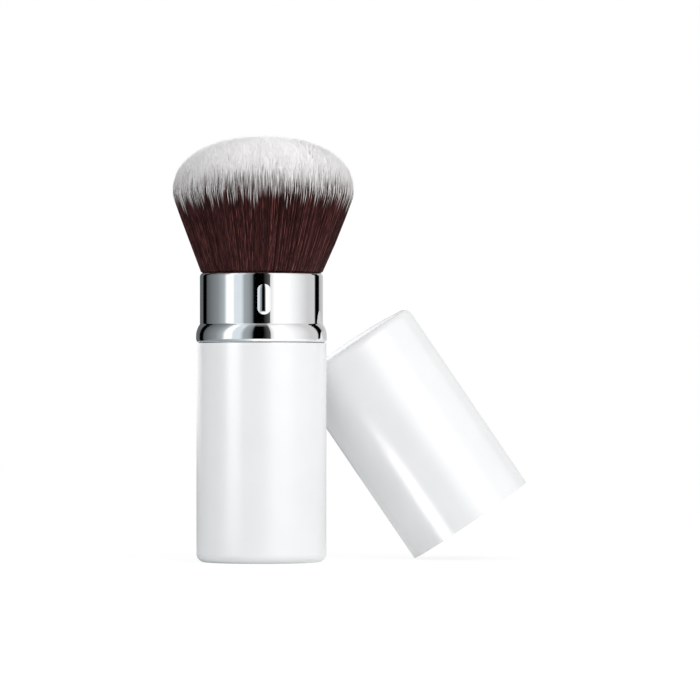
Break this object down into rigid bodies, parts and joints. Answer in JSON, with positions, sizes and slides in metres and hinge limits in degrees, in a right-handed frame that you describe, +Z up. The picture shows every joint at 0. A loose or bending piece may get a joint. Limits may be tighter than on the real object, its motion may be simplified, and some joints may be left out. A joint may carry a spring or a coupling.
{
  "type": "kabuki makeup brush",
  "caption": "Travel kabuki brush with a white weighted handle, chrome collar, domed dark tuft with pale tips, and a matching pull-off cap leaning beside it.",
  "frame": {"origin": "centre of the handle's flat foot, which stands on the table", "axes": "+Z up along the brush, -Y towards the viewer, +X to the side where the cap leans"},
  "size_m": [0.0883, 0.0612, 0.1046],
  "materials": {
    "white_lacquer": "satin",
    "core_plastic": "matte",
    "weight_steel": "matte",
    "collar_chrome": "polished",
    "cup_aluminium": "satin",
    "root_resin": "gloss",
    "dyed_hair": "satin",
    "liner_plastic": "satin"
  },
  "bodies": {
    "brush": {"handle_shell": "white_lacquer", "handle_core": "core_plastic", "base_weight": "weight_steel", "collar": "collar_chrome", "tuft_cup": "cup_aluminium", "root_plug": "root_resin", "bristles": "dyed_hair"},
    "cap": {"cap_shell": "white_lacquer", "cap_liner": "liner_plastic"}
  },
  "joints": [
    {"name": "cap_lift", "type": "slide", "parent": "brush", "child": "cap", "axis": [0.8271, 0, 0.5621], "range_m": [0, 0.07]}
  ]
}
